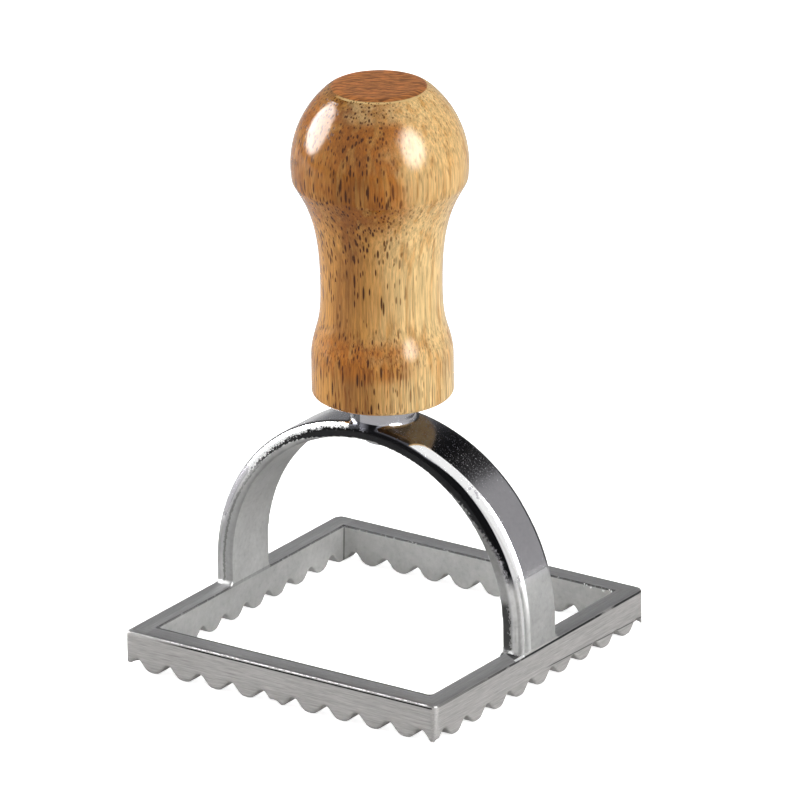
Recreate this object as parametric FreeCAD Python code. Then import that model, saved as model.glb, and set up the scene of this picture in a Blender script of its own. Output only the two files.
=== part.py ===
import FreeCAD, Part
import math
import os

from FreeCAD import Vector

# A ravioli stamp: a cast aluminium cutter head with a scalloped edge, a turned wooden handle,
# and the screw that holds the handle on the boss of the head.
# Millimetres. The origin is under the middle of the square, on the plane of the tooth tips.
# +Z runs up the handle, and the arch of the head spans the square along X.

# Square frame. Corners go round from the one at +X +Y, by way of -X +Y, and the rim's widths go round
# from the side at +X, by way of +Y.
side = 70.0
frame_height = 7.7
rim_widths = (4.2, 4.2, 4.2, 4.8)
edge_width = 3.4
corner_radii = (1.6, 1.6, 0.5, 1.4)
inner_corner_radius = 0.7
rim_round = 0.4

# Scalloped cutting edge. The casting pattern was cut by hand, so each side has its own row of notches,
# and a flat of its own height at each end of it. The sides go round from the one at +Y, and left and
# right are as the side is seen from inside.
tooth_depth = 2.35
tooth_radius = 2.6
notch_radius = 0.8
notch_counts = (10, 9, 10, 10)
notch_pitches = (7.12, 7.12, 7.12, 7.15)
row_middles = (2.98, -0.72, 0.54, -0.27)
left_flat_heights = (0.0, 1.2, 0.3, 0.2)
right_flat_heights = (0.0, 0.0, 1.2, 0.9)

# A nick that has worn one tooth of the side at -Y, cut by a cylinder with its middle below the edge
nick_radius = 2.2
nick_place = -1.7
nick_drop = 1.25

# Arched strap
strap_width = 12.2
strap_offset = -0.25
strap_setback = 0.25
strap_foot_thickness = 4.2
strap_crown_thickness = 3.3
strap_spring_height = 11.85
strap_near_round = 1.6
strap_far_round = 0.9
foot_fillet = 1.0

# Boss on the crown
boss_diameter = 11.7
boss_height = 4.6
boss_fillet = 0.9

# Wooden handle: the base, shoulder and waist by their heights over its lower face, and the knob and
# the flare under it by their drops from its top
handle_length = 60.8
base_diameter = 26.6
base_round = 1.1
base_band_height = 7.6
shoulder_height = 14.6
shoulder_diameter = 23.8
waist_height = 21.4
waist_diameter = 22.8
neck_flare_drop = 23.1
neck_flare_diameter = 27.8
knob_foot_drop = 18.5
knob_widest_drop = 15.4
knob_diameter = 33.2
flat_top_diameter = 17.6
knob_foot_slope = 1.7
knob_foot_round = 2.5
flat_top_round = 4.5

# Screw, the holes that it goes through, and its cross recess
screw_diameter = 4.0
screw_length = 30.0
screw_point_length = 4.0
screw_tip_diameter = 0.4
screw_head_diameter = 7.6
screw_head_height = 2.2
screw_head_round = 1.0
recess_span = 4.2
recess_width = 0.9
recess_depth = 1.3
clearance_hole_diameter = 4.6
spot_face_diameter = 9.0
spot_face_depth = 0.6
pilot_clearance = 0.1
pilot_extra_depth = 1.5

# Places worked out from the sizes above
half_side = side / 2
strap_half_span = half_side - strap_setback
strap_inner_half_span = strap_half_span - strap_foot_thickness
crown_height = strap_spring_height + strap_half_span
crown_underside = crown_height - strap_crown_thickness
boss_top = crown_height + boss_height
screw_seat = crown_underside + spot_face_depth
screw_head_face = screw_seat - screw_head_height
overrun = 5.0
reach = half_side + overrun
tiny = 0.001
origin = Vector(0, 0, 0)
up = Vector(0, 0, 1)


def line(start, end):
    return Part.LineSegment(start, end).toShape()


def arc(start, middle, end):
    return Part.Arc(start, middle, end).toShape()


def closed_face(points):
    return Part.Face(Part.makePolygon(points + points[:1]))


def turned(shape, degrees):
    """A copy of a shape, turned about the Z axis."""
    copy = shape.copy()
    copy.rotate(origin, up, degrees)
    return copy


def edge_middle(edge):
    return edge.valueAt((edge.FirstParameter + edge.LastParameter) / 2)


def rounded_outline(walls, radii, z):
    """Closed wire about the Z axis, from the distances of its four walls and a round for each corner."""
    corners = []
    for quarter, radius in enumerate(radii):
        wall = walls[quarter]
        following_wall = walls[(quarter + 1) % 4]
        inset = radius * (1 - math.sqrt(0.5))
        start = Vector(wall, following_wall - radius, z)
        middle = Vector(wall - inset, following_wall - inset, z)
        end = Vector(wall - radius, following_wall, z)
        corners.append(turned(arc(start, middle, end), 90 * quarter))
    edges = []
    for corner, following in zip(corners, corners[1:] + corners[:1]):
        edges += [corner, line(corner.Vertexes[-1].Point, following.Vertexes[0].Point)]
    return Part.Wire(edges)


def crest(middle, height, radius, turn):
    """Start, middle and end of a tooth's arc, or with a radius below zero, of a notch's arc."""
    run = abs(radius) * math.sin(turn)
    rise = radius * (1 - math.cos(turn))
    return [
        Vector(middle - run, 0, height + rise),
        Vector(middle, 0, height),
        Vector(middle + run, 0, height + rise),
    ]


def scallop_profile(notches, pitch, middle, left_height, right_height):
    """Face below one scalloped edge, in the XZ plane: round teeth and notches on straight flanks.

    The tooth at each corner is flat at its own height, and runs on past the corner.
    """
    radii = tooth_radius + notch_radius
    turn = math.asin(radii / math.hypot(pitch / 2, radii - tooth_depth))
    turn -= math.atan2(radii - tooth_depth, pitch / 2)
    arcs = []
    for index in range(notches):
        root = middle + (index - (notches - 1) / 2) * pitch
        if index > 0:
            arcs.append(crest(root - pitch / 2, 0, tooth_radius, turn))
        arcs.append(crest(root, tooth_depth, -notch_radius, turn))
    left, right = arcs[0][0], arcs[-1][2]
    border = [
        right,
        Vector(right.x + (right.z - right_height) / math.tan(turn), 0, right_height),
        Vector(reach, 0, right_height),
        Vector(reach, 0, -overrun),
        Vector(-reach, 0, -overrun),
        Vector(-reach, 0, left_height),
        Vector(left.x - (left.z - left_height) / math.tan(turn), 0, left_height),
        left,
    ]
    edges = [arc(*points) for points in arcs]
    edges += [line(before[2], after[0]) for before, after in zip(arcs, arcs[1:])]
    edges += [line(start, end) for start, end in zip(border, border[1:])]
    return Part.Face(Part.Wire(Part.__sortEdges__(edges)))


def scallop_cutters():
    """What the gaps between the teeth take away on the four sides, mitred at the corners."""
    foot = -2 * overrun
    wedge = closed_face([Vector(0, 0, foot), Vector(reach, reach, foot), Vector(-reach, reach, foot)])
    wedge = wedge.extrude(Vector(0, 0, 4 * overrun))
    cutters = []
    rows = zip(notch_counts, notch_pitches, row_middles, left_flat_heights, right_flat_heights)
    for quarter, row in enumerate(rows):
        strip = scallop_profile(*row).extrude(Vector(0, reach, 0))
        cutters.append(turned(strip.common(wedge), 90 * quarter))
    return cutters


def nick_cutter():
    start = Vector(nick_place, -reach, -nick_drop)
    return Part.makeCylinder(nick_radius, 2 * overrun, start, Vector(0, 1, 0))


def square_frame():
    """The cutting frame: walls with draft inside, a softened rim and a scalloped lower edge."""
    outside = Part.Face(rounded_outline([half_side] * 4, corner_radii, 0)).extrude(up * frame_height)
    rim_edges = [edge for edge in outside.Edges if edge.BoundBox.ZMin > frame_height - tiny]
    outside = outside.makeFillet(rim_round, rim_edges)
    lower_walls = []
    upper_walls = []
    for width in rim_widths:
        extra = (width - edge_width) / frame_height * overrun
        lower_walls.append(half_side - edge_width + extra)
        upper_walls.append(half_side - width - extra)
    inner_radii = [inner_corner_radius] * 4
    lower = rounded_outline(lower_walls, inner_radii, -overrun)
    upper = rounded_outline(upper_walls, inner_radii, frame_height + overrun)
    frame = outside.cut(Part.makeLoft([lower, upper], True, True))
    for cutter in scallop_cutters() + [nick_cutter()]:
        frame = frame.cut(cutter)
    return frame


def arch_points(half_span, crown, foot):
    """Right foot, right spring, crown, left spring and left foot of an arch, on the strap's front face."""
    front = -strap_width / 2
    spring = crown - half_span
    return [
        Vector(half_span, front, foot),
        Vector(half_span, front, spring),
        Vector(0, front, crown),
        Vector(-half_span, front, spring),
        Vector(-half_span, front, foot),
    ]


def on_outer_arch(edge, face):
    """Whether an edge of the strap runs along the outer side of the arch, on the face at this Y."""
    middle = edge_middle(edge)
    if abs(middle.y - face) > tiny:
        return False
    if middle.z > strap_spring_height:
        return abs(math.hypot(middle.x, middle.z - strap_spring_height) - strap_half_span) < tiny
    return abs(abs(middle.x) - strap_half_span) < tiny


def strap():
    """The arch: a half circle on two short legs, thinner at the crown, with its outer edges rounded."""
    foot = frame_height - 2 * rim_round
    outer = arch_points(strap_half_span, crown_height, foot)
    inner = arch_points(strap_inner_half_span, crown_underside, foot)
    wire = Part.Wire([
        line(outer[0], outer[1]),
        arc(outer[1], outer[2], outer[3]),
        line(outer[3], outer[4]),
        line(outer[4], inner[4]),
        line(inner[4], inner[3]),
        arc(inner[3], inner[2], inner[1]),
        line(inner[1], inner[0]),
        line(inner[0], outer[0]),
    ])
    band = Part.Face(wire).extrude(Vector(0, strap_width, 0))
    near_edges = [edge for edge in band.Edges if on_outer_arch(edge, -strap_width / 2)]
    band = band.makeFillet(strap_near_round, near_edges)
    far_edges = [edge for edge in band.Edges if on_outer_arch(edge, strap_width / 2)]
    return band.makeFillet(strap_far_round, far_edges)


def foot_web(edge_round):
    """The hollow fillet on the far side of the right foot, as long as the strap is flat there."""
    start = strap_inner_half_span
    length = strap_foot_thickness - edge_round
    low = frame_height - rim_round
    face = strap_width / 2
    buried = face - edge_round
    rise = foot_fillet * (1 - math.sqrt(0.5))
    toe = Vector(start, face + foot_fillet, frame_height)
    hollow = Vector(start, face + rise, frame_height + rise)
    head = Vector(start, face, frame_height + foot_fillet)
    wire = Part.Wire([
        arc(toe, hollow, head),
        line(head, Vector(start, buried, head.z)),
        line(Vector(start, buried, head.z), Vector(start, buried, low)),
        line(Vector(start, buried, low), Vector(start, toe.y, low)),
        line(Vector(start, toe.y, low), toe),
    ])
    return Part.Face(wire).extrude(Vector(length, 0, 0))


def foot_webs():
    """The hollow fillets on both sides of each foot, where the strap stands on the rim."""
    webs = [foot_web(strap_far_round), foot_web(strap_near_round).mirror(origin, Vector(0, 1, 0))]
    webs += [web.mirror(origin, Vector(1, 0, 0)) for web in webs]
    for piece in webs:
        piece.translate(Vector(strap_offset, 0, 0))
    return webs


def boss_foot_edges(shape):
    """The edges where the boss stands on the strap."""
    found = []
    for edge in shape.Edges:
        points = (edge.valueAt(edge.FirstParameter), edge_middle(edge), edge.valueAt(edge.LastParameter))
        on_wall = all(abs(2 * math.hypot(point.x, point.y) - boss_diameter) < 10 * tiny for point in points)
        if on_wall and all(point.z < boss_top - tiny for point in points):
            found.append(edge)
    return found


def strap_with_boss():
    """The strap and the boss that the handle sits on, run together with a fillet."""
    buried = strap_crown_thickness / 2
    boss = Part.makeCylinder(boss_diameter / 2, boss_height + buried, up * (crown_height - buried))
    arch = strap()
    arch.translate(Vector(strap_offset, 0, 0))
    joined = arch.fuse(boss)
    return joined.makeFillet(boss_fillet, boss_foot_edges(joined))


def cutter_casting():
    """The whole head, with the hole and the seat for the screw."""
    head = strap_with_boss()
    for piece in [square_frame()] + foot_webs():
        head = head.fuse(piece)
    hole = Part.makeCylinder(clearance_hole_diameter / 2, boss_top, origin)
    spot_face = Part.makeCylinder(spot_face_diameter / 2, screw_seat, origin)
    return head.cut(hole).cut(spot_face).removeSplitter()


def on_handle(diameter, height):
    """A point of the handle's outline, by its diameter there and its height over the lower face."""
    return Vector(diameter / 2, 0, boss_top + height)


def on_knob(drop):
    """A point of the knob's arc, by its drop from the top: upright at the widest place, in to the flat."""
    run = (knob_diameter - flat_top_diameter) / 2
    radius = (knob_widest_drop ** 2 + run ** 2) / (2 * run)
    rise = knob_widest_drop - drop
    diameter = knob_diameter - 2 * radius + 2 * math.sqrt(radius ** 2 - rise ** 2)
    return on_handle(diameter, handle_length - drop)


def handle_outline():
    """Closed wire of one half of the handle, in the XZ plane."""
    knob_foot = on_knob(knob_foot_drop)
    knob_top = on_knob(0)
    band_top = on_handle(base_diameter, base_band_height)
    neck = Part.BSplineCurve()
    neck.interpolate(
        Points=[
            band_top,
            on_handle(shoulder_diameter, shoulder_height),
            on_handle(waist_diameter, waist_height),
            on_handle(neck_flare_diameter, handle_length - neck_flare_drop),
            knob_foot,
        ],
        InitialTangent=Vector(0, 0, 1),
        FinalTangent=Vector(1, 0, knob_foot_slope),
    )
    return Part.Wire([
        line(on_handle(0, 0), on_handle(base_diameter, 0)),
        line(on_handle(base_diameter, 0), band_top),
        neck.toShape(),
        arc(knob_foot, on_knob(knob_widest_drop), knob_top),
        line(knob_top, on_handle(0, handle_length)),
        line(on_handle(0, handle_length), on_handle(0, 0)),
    ])


def round_rim(shape, height, radius):
    """Rounds the edge that runs round a turned shape at this height."""
    rims = []
    for edge in shape.Edges:
        if edge.BoundBox.ZLength < tiny and abs(edge.BoundBox.ZMin - height) < tiny:
            rims.append(edge)
    return shape.makeFillet(radius, rims)


def wooden_handle():
    """The turned handle, with its blind pilot bore."""
    handle = Part.Face(handle_outline()).revolve(origin, up, 360)
    handle = round_rim(handle, boss_top, base_round)
    handle = round_rim(handle, boss_top + handle_length - knob_foot_drop, knob_foot_round)
    handle = round_rim(handle, boss_top + handle_length, flat_top_round)
    bore_radius = (screw_diameter + pilot_clearance) / 2
    bore_depth = screw_seat + screw_length + pilot_extra_depth - boss_top
    return handle.cut(Part.makeCylinder(bore_radius, bore_depth, up * boss_top))


def handle_screw():
    """The pan head screw: head under the crown, shank up through the boss, point in the handle."""
    head = Part.makeCylinder(screw_head_diameter / 2, screw_head_height, up * screw_head_face)
    head = round_rim(head, screw_head_face, screw_head_round)
    shank_length = screw_length - screw_point_length
    shank = Part.makeCylinder(screw_diameter / 2, shank_length, up * screw_seat)
    point = Part.makeCone(screw_diameter / 2, screw_tip_diameter / 2, screw_point_length,
                          up * (screw_seat + shank_length))
    screw = head.fuse([shank, point])
    slot = Part.makeBox(recess_span, recess_width, recess_depth,
                        Vector(-recess_span / 2, -recess_width / 2, screw_head_face))
    return screw.cut(slot).cut(turned(slot, 90)).removeSplitter()


def write_step(name, shape):
    """Writes one piece, and says what it came to."""
    if not shape.isValid() or len(shape.Solids) != 1:
        raise RuntimeError(name + " isn't one sound solid")
    shape.Solids[0].exportStep(os.path.join("parts", name + ".step"))
    print(name, "volume", round(shape.Volume, 1), "faces", len(shape.Faces))


def main():
    os.makedirs("parts", exist_ok=True)
    write_step("cutter_casting", cutter_casting())
    write_step("wooden_handle", wooden_handle())
    write_step("handle_screw", handle_screw())


if __name__ == "__main__":
    main()
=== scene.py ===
import math
from types import SimpleNamespace

import bpy
from bpy.props import FloatProperty, FloatVectorProperty, PointerProperty
from mathutils import Euler, Matrix, Vector


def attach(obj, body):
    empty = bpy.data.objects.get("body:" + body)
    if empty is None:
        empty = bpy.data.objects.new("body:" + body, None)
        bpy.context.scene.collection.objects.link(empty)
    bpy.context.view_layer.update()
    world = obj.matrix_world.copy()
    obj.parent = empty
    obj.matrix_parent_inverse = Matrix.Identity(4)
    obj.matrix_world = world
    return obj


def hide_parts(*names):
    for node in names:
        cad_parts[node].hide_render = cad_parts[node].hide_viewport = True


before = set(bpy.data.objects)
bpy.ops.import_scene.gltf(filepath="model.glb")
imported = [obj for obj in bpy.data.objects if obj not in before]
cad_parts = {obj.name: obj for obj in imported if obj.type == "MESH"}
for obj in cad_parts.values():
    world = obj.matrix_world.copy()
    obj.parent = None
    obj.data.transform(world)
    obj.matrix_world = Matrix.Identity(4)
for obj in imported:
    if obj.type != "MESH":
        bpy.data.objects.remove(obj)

# A ravioli stamp: the cast aluminium head is a refined copy of its solid, with a cast and polished
# surface, and the turned handle and the screw keep their solids under materials of their own.

bl_info = {
    "name": "Ravioli stamp",
    "version": (1, 0, 0),
    "blender": (4, 5, 0),
    "location": "View3D > Sidebar > Ravioli stamp",
    "description": "Builds the looks of a ravioli stamp around its packed solids",
    "category": "Object",
}

# A millimetre in the scene's metres. Materials read places in millimetres.
MM = 0.001

# Sizes of the cast head that the masks follow, in millimetres
HALF_SIDE = 35.0
FRAME_HEIGHT = 7.7
RIM_INNER = 30.8
INNER_WALL = 32.4
STRAP_MIDDLE = -0.25
STRAP_SPRING = 11.85
STRAP_RADIUS = 34.75
STRAP_NEAR = -6.35

# How high the foot of the arch's polished outside is, in millimetres
POLISH_FOOT = 21.5

# Where the soft near edge of the arch ends on its outside, in Y: by the boss, and at the right foot
SOFT_EDGE_END = (-3.9, -2.7)

# How deep under the ground and polished faces the skin dips less, in millimetres, and its share there
SMOOTH_DEPTH = 0.6
SMOOTH_SHARE = 0.15

# Heights on the handle, in millimetres
BASE_TOP = 62
WAIST = 70
NECK_TOP = 84
KNOB_FOOT = 92

# How steeply the wood faces up where its flat top begins
TOP_TILT = 0.93

# Directions in the wood: across the rows of its grain, and along them
ACROSS_ROWS = (0.825, 0.565, 0.0)
ALONG_ROWS = (-0.565, 0.825, 0.0)

# Colour of the screw's steel
SCREW_COLOUR = (0.6, 0.6, 0.62, 1.0)

# The lamps: azimuth and elevation in degrees, and the two sizes in metres
LEFT_LAMP = (-161, 18), (0.45, 0.57)
RIGHT_LAMP = (10, 25), (0.5, 0.5)
LAMP_DISTANCE = 0.8
LAMP_AIM_HEIGHT = 60 * MM

# The lamps as reflections see them: azimuth and elevation, half angles, and share of the soft edge
LEFT_BOX = (-163, 20), (21, 22), 0.2
RIGHT_BOX = (-6, 24), (22, 28), 0.6

# Where the bright front of the room is, as an azimuth in degrees
FRONT_AZIMUTH = -55.4

# What the camera looks at: a height over the floor, and a shift to the right and up in the picture
VIEW_HEIGHT = 50 * MM
VIEW_SHIFT = (3.1615 * MM, -0.376 * MM)


class StampHeadSettings(bpy.types.PropertyGroup):
    mesh_step: FloatProperty(
        name="Mesh step",
        description="Size of the facets of the cast head",
        default=0.34 * MM,
        unit="LENGTH",
        precision=5,
    )
    cast_depth: FloatProperty(
        name="Cast texture depth",
        description="How deep the skin of the casting dips",
        default=0.05 * MM,
        unit="LENGTH",
        precision=5,
    )
    frame_colour: FloatVectorProperty(
        name="Ground metal",
        description="Colour of the outer sides of the square frame",
        subtype="COLOR",
        size=4,
        default=(0.42, 0.41, 0.40, 1.0),
    )
    rim_colour: FloatVectorProperty(
        name="Rim",
        description="Colour of the flat top of the square frame",
        subtype="COLOR",
        size=4,
        default=(0.285, 0.285, 0.289, 1.0),
    )
    skin_colour: FloatVectorProperty(
        name="Cast skin",
        description="Colour of the inner sides, left as they were cast",
        subtype="COLOR",
        size=4,
        default=(0.54, 0.54, 0.53, 1.0),
    )
    polished_colour: FloatVectorProperty(
        name="Polished metal",
        description="Colour of the outside of the arch",
        subtype="COLOR",
        size=4,
        default=(0.60, 0.59, 0.62, 1.0),
    )
    # Painted reflection: the polished outside of the arch beside the handle is painted this dark colour, for
    # the reflection of the handle's shaded underside.
    handle_reflection_colour: FloatVectorProperty(
        name="Metal beside the handle",
        description="Colour of the outside of the arch beside the wooden handle",
        subtype="COLOR",
        size=4,
        default=(0.22, 0.22, 0.25, 1.0),
    )
    # Painted highlights: this white is painted along edges and along the near edge of the arch, where they
    # would catch the light.
    painted_highlight_colour: FloatVectorProperty(
        name="Bright edges",
        description="Colour of the edges that catch the light",
        subtype="COLOR",
        size=4,
        default=(0.96, 0.96, 0.96, 1.0),
    )
    # Dark skin and painted shade: the black band along the sides of the arch is part dark cast skin and part
    # painted reflection of the dark floor. The dark lines are painted shade, except the real parting line of
    # the frame.
    dark_skin_and_shade_colour: FloatVectorProperty(
        name="Dark skin",
        description="Colour of the dark band along the sides of the arch, and of the dark lines",
        subtype="COLOR",
        size=4,
        default=(0.008, 0.008, 0.009, 1.0),
    )


class StampHandleSettings(bpy.types.PropertyGroup):
    light_wood: FloatVectorProperty(
        name="Light wood",
        description="Colour of the light part of the grain",
        subtype="COLOR",
        size=4,
        default=(0.83, 0.58, 0.26, 1.0),
    )
    golden_wood: FloatVectorProperty(
        name="Golden wood",
        description="Colour between the light and the dark grain",
        subtype="COLOR",
        size=4,
        default=(0.58, 0.28, 0.07, 1.0),
    )
    amber_wood: FloatVectorProperty(
        name="Amber wood",
        description="Colour of the orange patches",
        subtype="COLOR",
        size=4,
        default=(0.45, 0.15, 0.02, 1.0),
    )
    dark_wood: FloatVectorProperty(
        name="Dark wood",
        description="Colour of the dark band of the grain",
        subtype="COLOR",
        size=4,
        default=(0.22, 0.068, 0.014, 1.0),
    )
    end_grain: FloatVectorProperty(
        name="End grain",
        description="Colour of the flat top",
        subtype="COLOR",
        size=4,
        default=(0.35, 0.125, 0.034, 1.0),
    )
    pore_colour: FloatVectorProperty(
        name="Pores",
        description="Colour of the open pores",
        subtype="COLOR",
        size=4,
        default=(0.06, 0.016, 0.002, 1.0),
    )
    pore_spacing: FloatProperty(
        name="Pore spacing",
        description="Distance between pores across the grain",
        default=0.8 * MM,
        unit="LENGTH",
        precision=5,
    )


class StampStageSettings(bpy.types.PropertyGroup):
    azimuth: FloatProperty(
        name="Azimuth",
        description="Direction from which the camera looks, from +X round to +Y",
        default=math.radians(-55.37),
        subtype="ANGLE",
    )
    elevation: FloatProperty(
        name="Elevation",
        description="Height of the camera over the floor, as an angle",
        default=math.radians(21.05),
        subtype="ANGLE",
    )
    roll: FloatProperty(
        name="Roll",
        description="Turn of the camera about its own view",
        default=math.radians(-0.76),
        subtype="ANGLE",
    )
    distance: FloatProperty(
        name="Distance",
        description="From the camera to the middle of the stamp",
        default=2.5,
        unit="LENGTH",
    )
    lens: FloatProperty(
        name="Lens",
        description="Focal length of the camera in millimetres",
        default=604.2,
        unit="CAMERA",
    )
    left_power: FloatProperty(
        name="Left lamp",
        description="Power of the tall lamp on the left",
        default=4.0,
        unit="POWER",
    )
    right_power: FloatProperty(
        name="Right lamp",
        description="Power of the wide lamp on the right",
        default=2.8,
        unit="POWER",
    )
    left_box_level: FloatProperty(
        name="Left box",
        description="How bright the lamp on the left looks in reflections",
        default=24.0,
    )
    right_box_level: FloatProperty(
        name="Right box",
        description="How bright the lamp on the right looks in reflections",
        default=30.0,
    )
    front_level: FloatProperty(
        name="Front",
        description="How bright the front of the room looks in reflections",
        default=0.9,
    )
    room_level: FloatProperty(
        name="Room",
        description="Even light of the room",
        default=0.5,
    )


def fill_inputs(tree, node, inputs):
    """Gives a node its inputs, each as a value or as a socket to link."""
    for key, value in inputs.items():
        if isinstance(value, bpy.types.NodeSocket):
            tree.links.new(value, node.inputs[key])
        else:
            node.inputs[key].default_value = value


def add_node(tree, kind, inputs=None, **settings):
    """A new shader node, with its settings and inputs."""
    node = tree.nodes.new("ShaderNode" + kind)
    for name, value in settings.items():
        setattr(node, name, value)
    fill_inputs(tree, node, inputs or {})
    return node


def calc(tree, operation, first, second=0.0, third=0.0):
    inputs = {0: first, 1: second, 2: third}
    return add_node(tree, "Math", inputs, operation=operation).outputs[0]


def plus(tree, first, second):
    return calc(tree, "ADD", first, second)


def minus(tree, first, second):
    return calc(tree, "SUBTRACT", first, second)


def times(tree, first, second):
    return calc(tree, "MULTIPLY", first, second)


def ease(tree, value, low, high, start=0.0, end=1.0):
    """Start below low and end above high, with a smooth change between them.

    Where low is the larger of the two, it is start above low and end below high.
    """
    inputs = {"Value": value, "From Min": low, "From Max": high, "To Min": start, "To Max": end}
    return add_node(tree, "MapRange", inputs, interpolation_type="SMOOTHSTEP").outputs["Result"]


def all_of(tree, *masks):
    """The product of masks: 1 only where each is 1."""
    product = masks[0]
    for mask in masks[1:]:
        product = times(tree, product, mask)
    return product


def any_of(tree, *masks):
    """The largest of masks."""
    largest = masks[0]
    for mask in masks[1:]:
        largest = calc(tree, "MAXIMUM", largest, mask)
    return largest


def other(tree, mask):
    """All that a mask leaves out."""
    return minus(tree, 1.0, mask)


def between(tree, value, low, high, soft):
    """1 from low to high, and 0 further out than soft."""
    return all_of(tree, ease(tree, value, low - soft, low), ease(tree, value, high, high + soft, 1.0, 0.0))


def mix(tree, factor, first, second, blend="MIX"):
    """The first colour, and the second where the factor is 1. A mix node counts its inputs by their kind."""
    node = add_node(tree, "Mix", {0: factor, 6: first, 7: second}, data_type="RGBA", blend_type=blend)
    return node.outputs[2]


def mix_value(tree, factor, first, second):
    node = add_node(tree, "Mix", {0: factor, 2: first, 3: second}, data_type="FLOAT")
    return node.outputs[0]


def mix_vector(tree, factor, first, second):
    node = add_node(tree, "Mix", {0: factor, 4: first, 5: second}, data_type="VECTOR")
    return node.outputs[1]


def dot(tree, vector, direction):
    return add_node(tree, "VectorMath", {0: vector, 1: direction}, operation="DOT_PRODUCT").outputs["Value"]


def length(tree, vector):
    return add_node(tree, "VectorMath", {0: vector}, operation="LENGTH").outputs["Value"]


def split(tree, vector):
    return add_node(tree, "SeparateXYZ", {0: vector}).outputs[:]


def join(tree, x, y, z):
    return add_node(tree, "CombineXYZ", {0: x, 1: y, 2: z}).outputs[0]


def sized(tree, vector, sizes):
    """The vector over these lengths, so that a texture on it at scale 1 has marks of about that size."""
    factors = [1 / size for size in sizes]
    node = add_node(tree, "VectorMath", {0: vector, 1: factors}, operation="MULTIPLY")
    return node.outputs[0]


def noise(tree, vector, sizes, detail=2.0, roughness=0.5):
    inputs = {"Vector": sized(tree, vector, sizes), "Scale": 1.0, "Detail": detail, "Roughness": roughness}
    return add_node(tree, "TexNoise", inputs).outputs["Fac"]


def new_group(name, inputs, outputs):
    """A shader node group with named sockets, and its input and output nodes."""
    group = bpy.data.node_groups.new(name, "ShaderNodeTree")
    for label, kind in inputs:
        group.interface.new_socket(label, in_out="INPUT", socket_type="NodeSocket" + kind)
    for label, kind in outputs:
        group.interface.new_socket(label, in_out="OUTPUT", socket_type="NodeSocket" + kind)
    return group, group.nodes.new("NodeGroupInput"), group.nodes.new("NodeGroupOutput")


def place_group(tree, group, inputs):
    node = tree.nodes.new("ShaderNodeGroup")
    node.node_tree = group
    fill_inputs(tree, node, inputs)
    return node.outputs


def cast_skin_group():
    """Mottling and pits of metal as it was cast: a tone about 1, and a height that drops in the pits."""
    group, start, end = new_group(
        "cast_skin",
        [("Vector", "Vector"), ("Mottle", "Float"), ("Pits", "Float")],
        [("Tone", "Float"), ("Height", "Float")],
    )
    place = start.outputs["Vector"]
    broad = noise(group, place, (6,) * 3, 3.0)
    fine = noise(group, place, (0.9,) * 3, 4.0, 0.6)
    grain = noise(group, place, (0.28,) * 3, 2.0)
    cloud = plus(group, times(group, broad, 0.5), times(group, fine, 0.5))
    swing = times(group, minus(group, cloud, 0.5), start.outputs["Mottle"])
    pits = times(group, ease(group, fine, 0.32, 0.40, 1.0, 0.0), start.outputs["Pits"])
    tone = minus(group, plus(group, 1.0, swing), times(group, pits, 0.3))
    height = minus(group, times(group, grain, 0.4), pits)
    group.links.new(tone, end.inputs["Tone"])
    group.links.new(height, end.inputs["Height"])
    return group


def grinding_group():
    """Fine parallel lines that run along the first axis of the vector: a tone about 1 and a height."""
    group, start, end = new_group(
        "grinding_lines",
        [("Vector", "Vector"), ("Strength", "Float")],
        [("Tone", "Float"), ("Height", "Float")],
    )
    place = start.outputs["Vector"]
    long_lines = noise(group, place, (9, 0.36, 0.36), 3.0, 0.6)
    short_lines = noise(group, place, (2.6, 0.17, 0.17), 2.0)
    lines = plus(group, times(group, long_lines, 0.5), times(group, short_lines, 0.5))
    swing = times(group, minus(group, lines, 0.5), start.outputs["Strength"])
    group.links.new(plus(group, 1.0, swing), end.inputs["Tone"])
    group.links.new(lines, end.inputs["Height"])
    return group


def millimetres(tree):
    """The place on the object, in millimetres."""
    return sized(tree, add_node(tree, "TexCoord").outputs["Object"], (MM,) * 3)


def facing(tree):
    """The normal of the surface."""
    return add_node(tree, "NewGeometry").outputs["Normal"]


def new_material(name):
    """A material, its node tree and its Principled shader."""
    material = bpy.data.materials.new(name)
    material.use_nodes = True
    return material, material.node_tree, material.node_tree.nodes["Principled BSDF"]


def toned(tree, colour, tone):
    """A colour, lighter or darker by a tone about 1."""
    return mix(tree, 1.0, colour, join(tree, tone, tone, tone), "MULTIPLY")


def bump(tree, height, distance, normal=None):
    inputs = {"Height": height, "Distance": distance, "Strength": 1.0}
    if normal:
        inputs["Normal"] = normal
    return add_node(tree, "Bump", inputs).outputs["Normal"]


def square_place(tree, x, y):
    """How far a place is from the middle of the square: towards the nearest side, and along that side."""
    from_x = calc(tree, "ABSOLUTE", x)
    from_y = calc(tree, "ABSOLUTE", y)
    return calc(tree, "MAXIMUM", from_x, from_y), calc(tree, "MINIMUM", from_x, from_y)


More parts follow.
